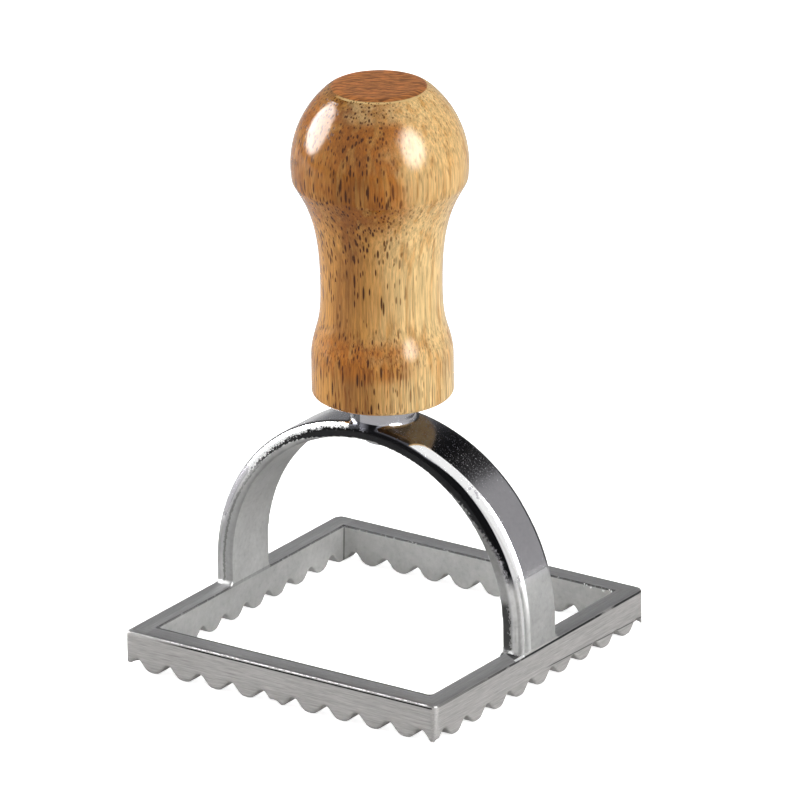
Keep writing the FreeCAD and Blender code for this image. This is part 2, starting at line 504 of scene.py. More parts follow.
def frame_metal(settings, skin, grinding):
    """Metal of the square frame: ground outer sides, a darker rim, and inner sides as cast. The right side
    and the left part of the rim are painted lighter, and painted shade, a real parting line and painted
    highlights are drawn on it.
    """
    material, tree, shader = new_material("frame_metal")
    place = millimetres(tree)
    x, y, z = split(tree, place)
    across, along = square_place(tree, x, y)
    facing_up = ease(tree, split(tree, facing(tree))[2], 0.55, 0.85)
    inside = ease(tree, across, INNER_WALL, INNER_WALL + 0.4, 1.0, 0.0)

    up_the_side = join(tree, plus(tree, x, y), z, across)
    over_the_rim = join(tree, along, across, z)
    side_lines = place_group(tree, grinding, {"Vector": up_the_side, "Strength": 1.5})
    rim_lines = place_group(tree, grinding, {"Vector": over_the_rim, "Strength": 1.1})
    cast = place_group(tree, skin, {"Vector": place, "Mottle": 0.9, "Pits": 0.15})
    # Painted light: the right side and the left part of the rim are painted lighter.
    on_right = ease(tree, x, HALF_SIDE - 0.5, HALF_SIDE - 0.2, 1.0, 1.08)
    on_left = ease(tree, x, -RIM_INNER + 0.2, -RIM_INNER - 0.1, 1.0, 1.2)
    side = toned(tree, settings.frame_colour, times(tree, side_lines["Tone"], on_right))
    rim = toned(tree, settings.rim_colour, times(tree, rim_lines["Tone"], on_left))
    inner = toned(tree, settings.skin_colour, times(tree, cast["Tone"], 0.86))
    metal = mix(tree, facing_up, mix(tree, inside, side, inner), rim)
    # Painted shade in dark lines along edges, in corners and by the arch, with the real parting line.
    metal = mix(tree, frame_dark_lines(tree, place, facing_up), metal, settings.dark_skin_and_shade_colour)
    # Painted highlights along the front edge and at the foot of the arch, and bright specks.
    metal = mix(tree, frame_bright_lines(tree, place), metal, settings.painted_highlight_colour)
    tree.links.new(metal, shader.inputs["Base Color"])

    height = plus(tree, times(tree, side_lines["Height"], other(tree, inside)),
                  times(tree, cast["Height"], inside))
    tree.links.new(bump(tree, height, 0.05 * MM), shader.inputs["Normal"])
    tree.links.new(ease(tree, inside, 0.0, 1.0, 0.38, 0.5), shader.inputs["Roughness"])
    shader.inputs["Metallic"].default_value = 0.65
    return material


def front_edge(tree, x, y):
    """The top edge of the front side, from a little way past its left end."""
    front = ease(tree, y, -HALF_SIDE + 0.18, -HALF_SIDE + 0.12)
    return all_of(tree, front, ease(tree, x, -HALF_SIDE + 2, -HALF_SIDE + 16))


def edge_breaks(tree, place):
    """Noise that breaks up the lines along the edges."""
    return noise(tree, place, (0.7,) * 3, 3.0, 0.6)


def frame_dark_lines(tree, place, facing_up):
    """Dark lines: painted shade under the top edges of the front and right sides, along the inner edge of
    the rim, in the inner corners, on the round of the front edge and in a wedge by the arch, and the real
    parting line.
    """
    x, y, z = split(tree, place)
    across, along = square_place(tree, x, y)
    right = ease(tree, x, HALF_SIDE - 0.5, HALF_SIDE - 0.4)
    long_breaks = noise(tree, place, (4,) * 3, 2.0)
    under_front = all_of(tree, front_edge(tree, x, y), between(tree, z, 6.95, 7.18, 0.08))
    under_right = all_of(tree, right, ease(tree, y, -HALF_SIDE, 0.0, 0.55, 1.0),
                         between(tree, z, 7.15, 7.45, 0.1), ease(tree, long_breaks, 0.3, 0.45, 0.4, 1.0))

    inner_edge = all_of(tree, between(tree, across, RIM_INNER - 0.35, RIM_INNER + 0.25, 0.1),
                        ease(tree, z, 7.2, 7.4), ease(tree, edge_breaks(tree, place), 0.25, 0.45))
    past_strap = plus(tree, ease(tree, calc(tree, "ABSOLUTE", y), 6.2, 6.6, 0.3, 0.75),
                      ease(tree, y, 29, 30, 0.0, 0.2))
    corner = all_of(tree, ease(tree, minus(tree, across, along), 0.15, 0.35, 1.0, 0.0),
                    other(tree, facing_up), between(tree, across, RIM_INNER - 0.4, RIM_INNER + 1.0, 0.1))

    front_round = all_of(tree, ease(tree, y, -HALF_SIDE + 0.5, -HALF_SIDE + 0.3), ease(tree, z, 7.2, 7.3))
    wedge_end = calc(tree, "MULTIPLY_ADD", x, -0.5, 9.2)
    wedge = all_of(tree, facing_up, ease(tree, x, 31, 31.4), ease(tree, x, 34.6, 34.4),
                   ease(tree, y, -6.3, -6.4), ease(tree, minus(tree, y, wedge_end), -0.2, 0.1))
    seam_height = calc(tree, "MULTIPLY_ADD", y, -0.026, 2.95)
    from_seam = calc(tree, "ABSOLUTE", minus(tree, z, seam_height))
    seam = all_of(tree, right, ease(tree, from_seam, 0.06, 0.2, 1.0, 0.0), ease(tree, y, 1, 4))
    return any_of(tree, under_front, under_right, times(tree, inner_edge, past_strap),
                  times(tree, corner, 0.7), times(tree, seam, 0.75),
                  times(tree, front_round, 0.45), times(tree, wedge, 0.93))


def frame_bright_lines(tree, place):
    """Painted highlights along the front edge, which is partly its worn bright metal, and a painted glint at
    the right foot of the arch; and bright specks at the far right.
    """
    x, y, z = split(tree, place)
    breaks = edge_breaks(tree, place)
    edge = all_of(tree, front_edge(tree, x, y), ease(tree, z, 7.38, 7.44), ease(tree, breaks, 0.46, 0.5))
    glint = all_of(tree, ease(tree, x, 34.35, 34.5), between(tree, y, -8.2, -5.4, 0.3),
                   ease(tree, z, 7.4, 7.5))
    specks = all_of(tree, between(tree, y, 30, 30.9, 0.1), between(tree, x, 24, 30, 0.5),
                    ease(tree, breaks, 0.58, 0.62), ease(tree, z, 6.6, 7))
    return any_of(tree, edge, glint, specks)


def arch_place(tree):
    """Where a place is on the arch. Masks: its outside, all but its boss, and the polished height.

    The spoke runs from the middle of the arch, reach is its length, and near is how far the surface
    faces the near side.
    """
    place = millimetres(tree)
    normal = facing(tree)
    x, y, z = split(tree, place)
    above_spring = calc(tree, "MAXIMUM", minus(tree, z, STRAP_SPRING), 0.0)
    spoke = join(tree, minus(tree, x, STRAP_MIDDLE), 0.0, above_spring)
    reach = length(tree, spoke)
    return SimpleNamespace(
        place=place,
        normal=normal,
        x=x,
        y=y,
        z=z,
        spoke=spoke,
        reach=reach,
        near=times(tree, split(tree, normal)[1], -1.0),
        outside=ease(tree, reach, STRAP_RADIUS - 2.2, STRAP_RADIUS - 1.2),
        on_arch=ease(tree, reach, STRAP_RADIUS + 0.1, STRAP_RADIUS + 0.3, 1.0, 0.0),
        high=ease(tree, z, POLISH_FOOT - 2, POLISH_FOOT + 2),
    )


def strap_metal(settings, skin):
    """Metal of the arch and its boss: polished outside, painted dark beside the handle as its reflection,
    and a dark grainy band along the sides, part cast skin and part painted reflection of the dark floor,
    with painted shade and highlights along its edges.
    """
    material, tree, shader = new_material("strap_metal")
    arch = arch_place(tree)
    cast = place_group(tree, skin, {"Vector": arch.place, "Mottle": 0.9, "Pits": 0.15})
    fine = place_group(tree, skin, {"Vector": arch.place, "Mottle": 0.25, "Pits": 0.1})
    rough = toned(tree, settings.skin_colour, times(tree, cast["Tone"], side_tone(tree, arch)))
    # Painted reflection: beside the handle the polished outside is painted dark, for the handle's shaded
    # underside.
    handle_reflection = all_of(tree, between(tree, arch.x, -12, 15, 3), arch.on_arch)
    polished = mix(tree, handle_reflection, settings.polished_colour, settings.handle_reflection_colour)
    polished = toned(tree, polished, ease(tree, arch.on_arch, 0.0, 1.0, 0.8, 1.0))
    metal = mix(tree, arch.outside, rough, toned(tree, polished, fine["Tone"]))
    # Below the polished height the outside is painted lighter and darker, with a painted highlight on the
    # near edge of the right leg.
    low = all_of(tree, arch.outside, other(tree, arch.high))
    metal = mix(tree, low, metal, toned(tree, rough, low_tone(tree, arch)))
    metal = toned(tree, metal, ease(tree, boss_foot(tree, arch), 0.0, 1.0, 1.0, 0.3))
    # A dark band, part cast skin and part painted reflection, with painted dark lines, then painted
    # highlights along the near edge.
    dark, bright = strap_bands(tree, arch)
    metal = mix(tree, bright, mix(tree, dark, metal, settings.dark_skin_and_shade_colour), settings.painted_highlight_colour)
    tree.links.new(metal, shader.inputs["Base Color"])

    height = plus(tree, times(tree, cast["Height"], other(tree, arch.outside)),
                  times(tree, fine["Height"], 0.2))
    tree.links.new(bump(tree, height, 0.05 * MM, strap_normal(tree, arch)), shader.inputs["Normal"])
    mirror = all_of(tree, arch.outside, arch.high)
    grains = ease(tree, noise(tree, arch.place, (0.28,) * 3, 2.0), 0.5, 0.7, 0.0, 0.16)
    grainy = between(tree, arch.x, -14, 22, 3)
    gloss = calc(tree, "MULTIPLY_ADD", grains, grainy, ease(tree, mirror, 0.0, 1.0, 0.45, 0.13))
    tree.links.new(gloss, shader.inputs["Roughness"])
    tree.links.new(ease(tree, mirror, 0.0, 1.0, 0.7, 1.0), shader.inputs["Metallic"])
    return material


def boss_foot(tree, arch):
    """The shade on the arch to the right and left of the foot of its boss."""
    right = all_of(tree, between(tree, arch.x, 1.5, 9, 1.5), between(tree, arch.near, 0.1, 0.95, 0.05),
                   arch.outside, ease(tree, arch.reach, STRAP_RADIUS - 0.3, STRAP_RADIUS - 0.1, 1.0, 0.0))
    left = all_of(tree, between(tree, arch.x, -3.8, -1.5, 0.3), ease(tree, arch.near, 0.3, 0.5),
                  arch.outside)
    return any_of(tree, right, left)


def low_tone(tree, arch):
    """How light the unpolished outside of the legs is, as painted light and shade: a painted highlight makes
    the near edge of the right one much lighter.
    """
    left = ease(tree, arch.near, 0.05, 0.5, 0.4, 0.8)
    right = ease(tree, arch.near, 0.05, 0.3, 0.75, 2.15)
    return mix_value(tree, ease(tree, arch.x, -5, 5), left, right)


def strap_inner_edge(tree, x):
    """How far from the middle of the arch the inner strip of its near side begins, painted in the tone of
    the inner face as if the edge turned inward there.
    """
    return ease(tree, x, -18, -6, STRAP_RADIUS - 2.35, STRAP_RADIUS - 3.3)


def side_tone(tree, arch):
    """How light the unpolished side of the arch is, as painted light and shade: on the left painted
    highlights at the foot and the shoulder and an inner strip painted like the inner face, and darker
    towards the crown where it faces away from the near side.
    """
    facing_near = ease(tree, arch.near, 0.3, 0.7)
    left = plus(tree, ease(tree, arch.z, 11, 15, 0.72, 0.58), ease(tree, arch.z, 25, 31, 0.0, 0.7))
    right = mix_value(tree, ease(tree, arch.z, 20, 25), 0.57, 0.42)
    tone = mix_value(tree, ease(tree, arch.x, -5, 5), left, right)
    tone = mix_value(tree, facing_near, ease(tree, arch.z, 18, 40, 0.97, 0.65), tone)
    past_inner = ease(tree, minus(tree, arch.reach, strap_inner_edge(tree, arch.x)), -0.2, 0.1)
    turned_in = all_of(tree, other(tree, past_inner), ease(tree, arch.x, -5, -8), facing_near)
    return mix_value(tree, turned_in, tone, 0.62)


def strap_normal(tree, arch):
    """The true normal of the polished outside of the arch, and of the broad soft edge on its near side."""
    outward = add_node(tree, "VectorMath", {0: arch.spoke}, operation="NORMALIZE").outputs[0]
    width = minus(tree, soft_edge_end(tree, arch.x), STRAP_NEAR)
    share = calc(tree, "DIVIDE", minus(tree, arch.y, STRAP_NEAR), width)
    lean = ease(tree, share, 0.0, 1.0, math.radians(88), math.radians(28))
    to_near_side = join(tree, 0.0, times(tree, calc(tree, "SINE", lean), -1.0), 0.0)
    upright = {0: outward, "Scale": calc(tree, "COSINE", lean)}
    out_part = add_node(tree, "VectorMath", upright, operation="SCALE").outputs[0]
    leaning = add_node(tree, "VectorMath", {0: out_part, 1: to_near_side}, operation="ADD").outputs[0]
    in_edge = all_of(tree, ease(tree, share, 0.97, 1.0, 1.0, 0.0), ease(tree, arch.x, 8.5, 9.5))
    chosen = mix_vector(tree, in_edge, outward, leaning)

    near = arch.near
    flat = all_of(tree, ease(tree, near, -0.12, -0.03), ease(tree, near, 0.8, 0.95, 1.0, 0.0),
                  arch.outside, arch.on_arch)
    on_left = all_of(tree, ease(tree, arch.x, 3, 0.0), ease(tree, near, 0.45, 0.55, 1.0, 0.0))
    flat = all_of(tree, flat, any_of(tree, in_edge, on_left, ease(tree, near, 0.03, 0.12, 1.0, 0.0)))
    return mix_vector(tree, flat, arch.normal, chosen)


def soft_edge_end(tree, x):
    """Where on the outside of the arch its soft near edge ends."""
    start = ease(tree, x, 8.5, 12.5, STRAP_NEAR + 0.2, SOFT_EDGE_END[0])
    return plus(tree, start, ease(tree, x, 12.5, 30, 0.0, SOFT_EDGE_END[1] - SOFT_EDGE_END[0]))


def strap_bands(tree, arch):
    """Masks of the dark band along the sides of the arch, part black cast skin and part painted reflection,
    with painted dark lines, and of the painted highlight along its near edge.
    """
    x = arch.x
    ragged = minus(tree, noise(tree, arch.place, (0.6,) * 3, 4.0, 0.7), 0.5)
    edge = calc(tree, "MULTIPLY_ADD", ragged, 3.2, arch.reach)
    past_start = minus(tree, arch.near, ease(tree, x, 13, 22, 0.93, 0.66))
    left_limit = ease(tree, x, -30, -6, STRAP_RADIUS - 1.9, STRAP_RADIUS - 1.2)
    above_left = ease(tree, minus(tree, edge, left_limit), -0.15, 0.15)
    near_line = all_of(tree, between(tree, arch.near, 0.3, 0.5, 0.05), arch.outside, arch.high,
                       arch.on_arch, ease(tree, x, -2, -5))
    dark = any_of(tree, dark_skin_and_reflection(tree, arch, ragged, edge, past_start, above_left), near_line)

    in_edge = ease(tree, minus(tree, arch.y, soft_edge_end(tree, x)), -0.15, 0.0, 1.0, 0.0)
    right_band = all_of(tree, in_edge, ease(tree, past_start, -0.04, -0.1), arch.outside, arch.high,
                        ease(tree, x, 9, 9.5))
    left_band = all_of(tree, ease(tree, arch.near, 0.5, 0.55), above_left, ease(tree, x, -3.6, -4.2),
                       ease(tree, x, -27, -26.5))
    bright = all_of(tree, any_of(tree, right_band, left_band), other(tree, highlight_gaps(tree, arch)),
                    arch.on_arch, other(tree, near_line))
    return dark, bright


def dark_skin_and_reflection(tree, arch, ragged, edge, past_start, above_left):
    """The ragged black band on the side of the arch, part dark cast skin and part painted reflection of the
    dark floor, a painted dark strip at the foot of the right leg, and painted dark lines at its far and
    inner edges.
    """
    x, z = arch.x, arch.z
    side = all_of(tree, ease(tree, past_start, -0.04, 0.0), arch.on_arch)
    speckled = ease(tree, x, 12, 24)
    inner_edge = plus(tree, strap_inner_edge(tree, x), times(tree, speckled, 0.5))
    rag = calc(tree, "MULTIPLY_ADD", ragged, mix_value(tree, speckled, 1.2, 4.0), arch.reach)
    from_inner = minus(tree, rag, inner_edge)

    on_left = all_of(tree, other(tree, above_left), ease(tree, z, 29, 36))
    right_limit = ease(tree, z, 41, 24, STRAP_RADIUS - 4.6, STRAP_RADIUS - 1.3)
    on_right = all_of(tree, ease(tree, minus(tree, edge, right_limit), -0.7, 0.5), arch.high)
    skin = all_of(tree, side, ease(tree, from_inner, -0.1, 0.1),
                  mix_value(tree, ease(tree, x, -1, 1), on_left, on_right))
    foot_strip = all_of(tree, side, ease(tree, z, 18.5, 16.5), ease(tree, x, 29, 30),
                        ease(tree, edge, 32.7, 32.2))
    far_line = all_of(tree, ease(tree, arch.near, -0.06, -0.1), arch.outside, arch.high, arch.on_arch)
    inner_line = all_of(tree, ease(tree, arch.near, 0.8, 0.9), between(tree, from_inner, -0.15, 0.2, 0.1),
                        ease(tree, x, -23, -25))
    return any_of(tree, skin, times(tree, foot_strip, 0.85), times(tree, far_line, 0.9),
                  times(tree, inner_line, 0.5))


def highlight_gaps(tree, arch):
    """Cloudy gaps in the painted highlight along the near edge of the right half of the arch, at two
    heights.
    """
    clouds = ease(tree, noise(tree, arch.place, (1.1,) * 3, 3.0), 0.52, 0.6)
    low = between(tree, arch.z, 21.5, 22.5, 0.5)
    high = between(tree, arch.z, 36.6, 38, 0.5)
    return all_of(tree, clouds, any_of(tree, low, high), ease(tree, arch.x, 0.0, 5))


def wood_place(tree):
    """Where a place is in the wood, and a mask of its flat top.

    The row is the place across the rows of the grain, with a warp, plain is the same without the warp,
    and depth is the place along them. Upward is how far the surface faces up.
    """
    place = millimetres(tree)
    upward = split(tree, facing(tree))[2]
    warp = times(tree, minus(tree, noise(tree, place, (5, 5, 16), 3.0), 0.5), 7)
    plain = dot(tree, place, ACROSS_ROWS)
    return SimpleNamespace(
        place=place,
        z=split(tree, place)[2],
        upward=upward,
        plain=plain,
        row=plus(tree, plain, warp),
        depth=dot(tree, place, ALONG_ROWS),
        top=ease(tree, upward, TOP_TILT - 0.01, TOP_TILT),
    )


def lacquered_wood(settings):
    """Turned wood under a clear lacquer: bands and lines of grain, and open pores that run up it."""
    material, tree, shader = new_material("lacquered_wood")
    spot = wood_place(tree)
    wood = wood_patches(tree, settings, spot, wood_bands(tree, settings, spot))
    wood = wood_lines(tree, settings, spot, wood)
    wood = flat_top(tree, settings, spot, wood)
    pores = open_pores(tree, settings, spot)
    depth = ease(tree, spot.row, 7, -1, 0.5, 0.95)
    stain = mix(tree, ease(tree, spot.row, 7, -1), settings.dark_wood, settings.pore_colour)
    wood = mix(tree, times(tree, pores, depth), wood, stain)
    tree.links.new(wood, shader.inputs["Base Color"])

    ripple = noise(tree, spot.place, (0.8, 0.8, 1.6), 2.0)
    height = calc(tree, "MULTIPLY_ADD", pores, -0.4, times(tree, ripple, 0.5))
    tree.links.new(bump(tree, height, 0.02 * MM), shader.inputs["Normal"])
    dull = any_of(tree, times(tree, pores, 0.3), times(tree, spot.top, 0.6))
    tree.links.new(ease(tree, dull, 0.0, 1.0, 0.13, 0.7), shader.inputs["Roughness"])
    shader.inputs["Specular IOR Level"].default_value = 0.25
    return material


def wood_bands(tree, settings, spot):
    """The broad dark band on the left of the handle, between golden and light wood."""
    row, z = spot.row, spot.z
    dark_end = plus(tree, ease(tree, z, 86, 92, -4.5, 0.0), ease(tree, z, WAIST, BASE_TOP, 0.0, 1.5))
    past_end = minus(tree, row, dark_end)
    dark = all_of(tree, ease(tree, row, -11, -6.5), ease(tree, past_end, -3, 3, 1.0, 0.0),
                  ease(tree, z, 76, 88, 0.6, 0.85))
    wood = mix(tree, ease(tree, row, -4, 6), settings.golden_wood, settings.light_wood)
    wood = mix(tree, ease(tree, z, NECK_TOP, 96, 0.0, 0.3), wood, settings.golden_wood)
    return mix(tree, dark, wood, settings.dark_wood)


def wood_patches(tree, settings, spot, wood):
    """Amber patches on the knob and over the base, and a cream one on the shoulder of the knob."""
    row, z, upward = spot.row, spot.z, spot.upward
    blotch = noise(tree, spot.place, (3.5, 3.5, 4.5), 4.0, 0.6)
    left_of_knob = all_of(tree, ease(tree, z, NECK_TOP, KNOB_FOOT), ease(tree, row, 6, 0.0),
                          ease(tree, upward, 0.8, 0.6))
    amber = times(tree, left_of_knob, ease(tree, blotch, 0.3, 0.6, 0.35, 0.8))
    wood = mix(tree, amber, wood, settings.amber_wood)

    blotches = ease(tree, blotch, 0.25, 0.55)
    on_knob = all_of(tree, ease(tree, z, 89, 96), between(tree, row, -1, 2.5, 4), blotches)
    over_base = all_of(tree, between(tree, z, 59.5, 63.5, 3), blotches,
                       ease(tree, row, 1, 7, 1.0, 0.15), ease(tree, row, -12, -8, 0.3, 1.0))
    far_left = all_of(tree, ease(tree, upward, 0.35, 0.6), ease(tree, row, -9, -12))
    patches = any_of(tree, on_knob, over_base, far_left)
    wood = mix(tree, times(tree, patches, 0.85), wood, settings.amber_wood)

    cream = all_of(tree, between(tree, upward, 0.68, 0.9, 0.1), between(tree, row, -5, 9, 3),
                   ease(tree, blotch, 0.3, 0.6))
    return mix(tree, times(tree, cream, 0.65), wood, settings.light_wood)


def wood_lines(tree, settings, spot, wood):
    """Veins, fibres, thin dark lines and short streaks up the grain, and a shade on the left of the knob."""
    place, row, z = spot.place, spot.row, spot.z
    veins = noise(tree, place, (1.6, 1.6, 14), 3.0)
    fibres = noise(tree, place, (0.45, 0.45, 8), 4.0, 0.65)
    rings = noise(tree, place, (1.7, 1.7, 30), 3.0, 0.6)
    streaks = noise(tree, place, (0.3, 0.3, 9), 3.0)
    wood = mix(tree, ease(tree, veins, 0.48, 0.68, 0.0, 0.7), wood, settings.golden_wood)
    wood = toned(tree, wood, ease(tree, fibres, 0.28, 0.72, 0.7, 1.26))
    shade = all_of(tree, ease(tree, z, NECK_TOP, KNOB_FOOT), ease(tree, row, 5, -3))
    wood = toned(tree, wood, mix_value(tree, shade, 1.1, 0.86))
    thin_lines = all_of(tree, between(tree, rings, 0.492, 0.504, 0.01),
                        ease(tree, z, WAIST - 1, BASE_TOP, 0.22, 0.75), ease(tree, row, 1, 8, 1.0, 0.5))
    wood = mix(tree, thin_lines, wood, settings.dark_wood)
    streaks = times(tree, ease(tree, streaks, 0.57, 0.66), ease(tree, z, WAIST, BASE_TOP, 0.35, 0.7))
    return mix(tree, streaks, wood, settings.dark_wood)


def flat_top(tree, settings, spot, wood):
    """The flat top with its bent lines of end grain, and a painted highlight along its rounded near edge."""
    bends = noise(tree, spot.place, (4,) * 3, 2.0)
    bent_depth = calc(tree, "MULTIPLY_ADD", bends, 2.5, spot.depth)
    lines = noise(tree, join(tree, spot.plain, bent_depth, 0.0), (3, 0.55, 1.0), 4.0, 0.62)
    end_grain = toned(tree, settings.end_grain, ease(tree, lines, 0.38, 0.62, 0.5, 1.65))
    wood = mix(tree, spot.top, wood, end_grain)
    # Painted highlight along the rounded near edge of the flat top.
    edge = all_of(tree, between(tree, spot.upward, TOP_TILT - 0.04, TOP_TILT - 0.012, 0.015),
                  ease(tree, spot.depth, -2, -6), ease(tree, spot.plain, -9, -6))
    return mix(tree, times(tree, edge, 0.9), wood, settings.light_wood)


def open_pores(tree, settings, spot):
    """Long and short pores, more of them on the left and on the knob, and none in the flat top."""
    spacing = settings.pore_spacing / MM
    share = times(tree, ease(tree, spot.row, 7, 0.0, 0.4, 1.0), ease(tree, spot.z, 72, 86, 0.45, 1.0))
    many = times(tree, share, 0.95)
    few = times(tree, share, 0.75)
    pores = any_of(tree, pore_mask(tree, spot.place, spacing, 7 * spacing, many),
                   pore_mask(tree, spot.place, 0.7 * spacing, 3.5 * spacing, few))
    return all_of(tree, pores, other(tree, spot.top))


def pore_mask(tree, place, across, along, chance):
    """Open pores, long up the grain: 1 in a pore. The chance is that of a cell to have one."""
    cells = {"Vector": sized(tree, place, (across, across, along)), "Scale": 1.0, "Randomness": 1.0}
    voronoi = add_node(tree, "TexVoronoi", cells, feature="F1")
    lot = split(tree, voronoi.outputs["Color"])[0]
    return all_of(tree, ease(tree, voronoi.outputs["Distance"], 0.18, 0.34, 1.0, 0.0),
                  calc(tree, "LESS_THAN", lot, chance))


def screw_metal(skin):
    """Bright steel of the screw, with fine rings from the lathe."""
    material, tree, shader = new_material("screw_metal")
    place = millimetres(tree)
    x, y, z = split(tree, place)
    radius = calc(tree, "SQRT", plus(tree, times(tree, x, x), times(tree, y, y)))
    turned = noise(tree, join(tree, radius, z, 0.0), (0.12, 0.3, 1.0), 2.0)
    fine = place_group(tree, skin, {"Vector": place, "Mottle": 0.3, "Pits": 0.2})
    tone = times(tree, fine["Tone"], ease(tree, turned, 0.3, 0.7, 0.9, 1.08))
    tree.links.new(toned(tree, SCREW_COLOUR, tone), shader.inputs["Base Color"])
    tree.links.new(bump(tree, turned, 0.01 * MM), shader.inputs["Normal"])
    shader.inputs["Metallic"].default_value = 1.0
    shader.inputs["Roughness"].default_value = 0.28
    return material


def choose(piece):
    """Makes a piece the only one selected, and the active one."""
    bpy.ops.object.select_all(action="DESELECT")
    piece.select_set(True)
    bpy.context.view_layer.objects.active = piece


def apply_modifier(piece, kind, **settings):
    choose(piece)
    modifier = piece.modifiers.new(kind.lower(), kind)
    for name, value in settings.items():
        setattr(modifier, name, value)
    bpy.ops.object.modifier_apply(modifier=modifier.name)


def refined_copy(node, name, step):
    """A closed, evenly divided copy of a node, with soft edges."""
    piece = bpy.data.objects.new(name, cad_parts[node].data.copy())
    bpy.context.scene.collection.objects.link(piece)
    piece.data.materials.clear()
    choose(piece)
    bpy.ops.object.mode_set(mode="EDIT")
    bpy.ops.mesh.select_all(action="SELECT")
    bpy.ops.mesh.remove_doubles(threshold=0.002 * MM)
    bpy.ops.object.mode_set(mode="OBJECT")
    apply_modifier(piece, "REMESH", mode="VOXEL", voxel_size=step, use_smooth_shade=True)
    apply_modifier(piece, "SMOOTH", factor=0.5, iterations=2)
    return piece


def roughen(piece, depth):
    """Lets the cast skin dip, less where it is polished or ground, and never stand proud."""
    texture = bpy.data.textures.new("cast_skin", "CLOUDS")
    texture.noise_scale = 1.4 * MM
    texture.noise_depth = 3
    group = piece.vertex_groups.new(name="skin")
    for vertex in piece.data.vertices:
        x, y, z = (value / MM for value in vertex.co)
        reach = math.hypot(x - STRAP_MIDDLE, max(z - STRAP_SPRING, 0.0))
        polished = z > FRAME_HEIGHT and reach > STRAP_RADIUS - SMOOTH_DEPTH
        ground = max(abs(x), abs(y)) > HALF_SIDE - SMOOTH_DEPTH
        group.add([vertex.index], SMOOTH_SHARE if polished or ground else 1.0, "REPLACE")
    apply_modifier(piece, "DISPLACE", texture=texture, texture_coords="LOCAL", strength=depth, mid_level=1.0,
                   vertex_group="skin")


class STAMP_OT_head(bpy.types.Operator):
    """Builds the cast head around its solid"""

    bl_idname = "stamp.head"
    bl_label = "Cast head"

    def execute(self, context):
        settings = context.scene.stamp_head
        piece = refined_copy("cutter_casting", "cast_head", settings.mesh_step)
        roughen(piece, settings.cast_depth)
        skin = cast_skin_group()
        grinding = grinding_group()
        piece.data.materials.append(frame_metal(settings, skin, grinding))
        piece.data.materials.append(strap_metal(settings, skin))
        for face in piece.data.polygons:
            over_frame = face.center.z / MM > FRAME_HEIGHT + 0.15
            near_strap = abs(face.center.y) / MM < 9
            face.material_index = 1 if over_frame and near_strap else 0
        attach(piece, "root")
        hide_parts("cutter_casting")
        return {"FINISHED"}


class STAMP_OT_handle(bpy.types.Operator):
    """Finishes the turned handle in lacquered wood"""

    bl_idname = "stamp.handle"
    bl_label = "Wooden handle"

    def execute(self, context):
        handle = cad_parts["wooden_handle"]
        handle.data.materials.clear()
        handle.data.materials.append(lacquered_wood(context.scene.stamp_handle))
        return {"FINISHED"}


class STAMP_OT_screw(bpy.types.Operator):
    """Finishes the screw in bright steel"""

    bl_idname = "stamp.screw"
    bl_label = "Screw"

    def execute(self, context):
        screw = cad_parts["handle_screw"]
        screw.data.materials.clear()
        screw.data.materials.append(screw_metal(bpy.data.node_groups["cast_skin"]))
        return {"FINISHED"}


def floor():
    """A white floor that glows for the camera and keeps the shadow of the frame that stands on it; under the
    frame it glows less, as painted shade.
    """
    bpy.ops.object.select_all(action="DESELECT")
    bpy.ops.mesh.primitive_plane_add(size=6.0, location=(0.0, 0.0, -0.05 * MM))
    plane = bpy.context.active_object
    plane.name = "floor"
    material, tree, shader = new_material("floor")
    shader.inputs["Base Color"].default_value = (0.8, 0.8, 0.8, 1.0)
    shader.inputs["Roughness"].default_value = 0.9
    shader.inputs["Specular IOR Level"].default_value = 0.1
    x, y = split(tree, millimetres(tree))[:2]
    # Painted shade: under the frame the floor glows less, so that it shows dark through the notches.
    under = all_of(tree, ease(tree, x, HALF_SIDE - 0.3, HALF_SIDE - 0.1, 1.0, 0.0),
                   ease(tree, y, -HALF_SIDE + 0.1, -HALF_SIDE + 0.3),
                   ease(tree, x, -HALF_SIDE - 0.3, -HALF_SIDE),
                   ease(tree, y, HALF_SIDE, HALF_SIDE + 0.3, 1.0, 0.0))
    glow = ease(tree, under, 0.0, 1.0, 0.9, 0.8)
    glow = times(tree, glow, add_node(tree, "LightPath").outputs["Is Camera Ray"])
    tree.links.new(glow, shader.inputs["Emission Strength"])
    shader.inputs["Emission Color"].default_value = (1.0, 1.0, 1.0, 1.0)
    plane.data.materials.append(material)


def heading(azimuth, elevation):
    """The direction at these angles, in degrees."""
    turn = math.radians(azimuth)
    rise = math.radians(elevation)
    return Vector((math.cos(turn) * math.cos(rise), math.sin(turn) * math.cos(rise), math.sin(rise)))


def oval(tree, direction, middle, half_angles, soft):
    """1 within an oval of the sky about a heading, of these half angles in degrees, with a soft edge."""
    azimuth, elevation = middle
    half_width, half_height = (math.sin(math.radians(angle)) for angle in half_angles)
    across = calc(tree, "DIVIDE", dot(tree, direction, heading(azimuth + 90, 0)), half_width)
    over = calc(tree, "DIVIDE", dot(tree, direction, heading(azimuth, elevation + 90)), half_height)
    away = length(tree, join(tree, across, over, 0.0))
    ahead = calc(tree, "GREATER_THAN", dot(tree, direction, heading(azimuth, elevation)), 0.0)
    return all_of(tree, ease(tree, away, 1.0 - soft, 1.0, 1.0, 0.0), ahead)


